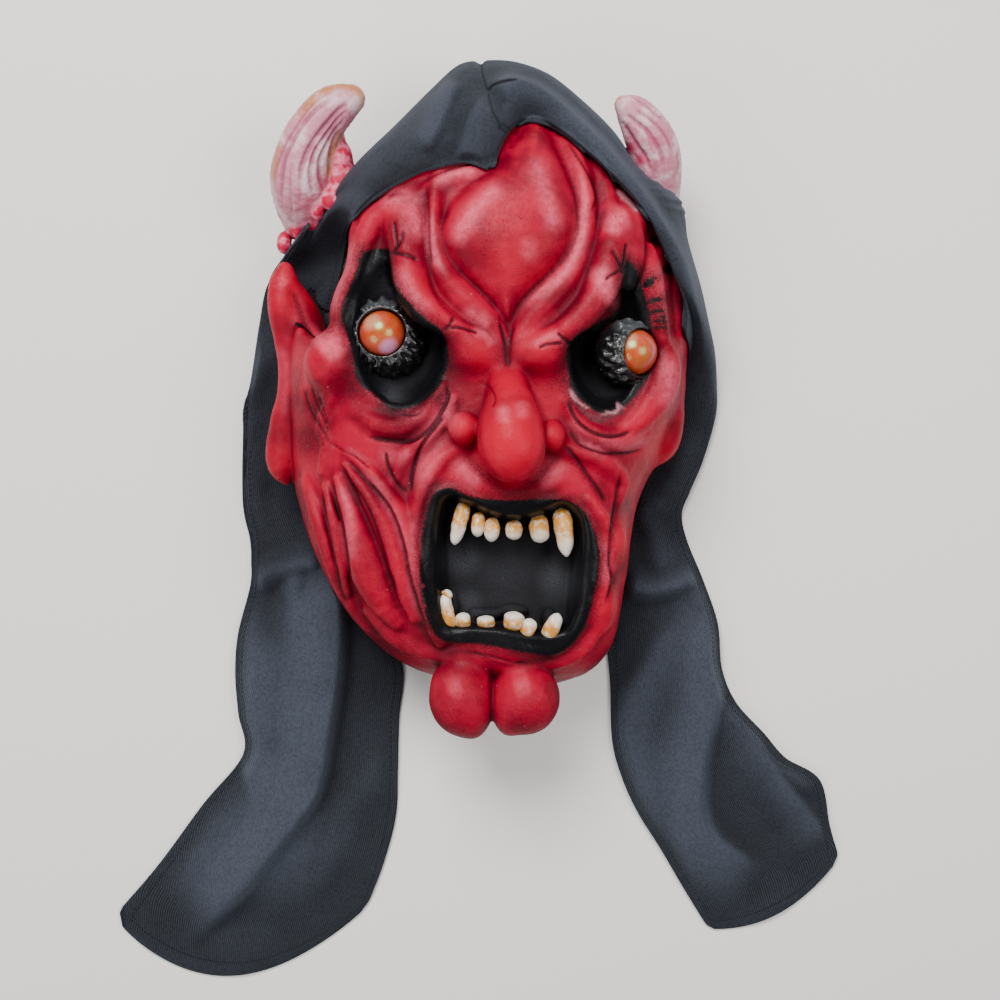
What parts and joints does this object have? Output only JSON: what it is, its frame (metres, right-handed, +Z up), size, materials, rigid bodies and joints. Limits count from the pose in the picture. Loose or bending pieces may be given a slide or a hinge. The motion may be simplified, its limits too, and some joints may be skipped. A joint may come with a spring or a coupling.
{
  "type": "costume mask",
  "caption": "Latex devil mask with horns, pointed ears, translucent orange eyes, bared teeth in a black mouth and a black cloth hood with loose tails, lying face up.",
  "frame": {"origin": "centre of the underside of the whole part's box, on the floor that the mask lies on", "axes": "+Z up out of the face, +Y from the chin to the crown, +X to the right of a viewer who looks down on the face"},
  "size_m": [0.4036, 0.4954, 0.12],
  "materials": {
    "latex": "satin, painted red, black, white and ochre",
    "cloth": "matte jersey knit",
    "marble": "polished, translucent"
  },
  "bodies": {
    "root": {"mask": "latex", "hood": "cloth", "eye_left": "marble", "eye_right": "marble"}
  },
  "joints": []
}
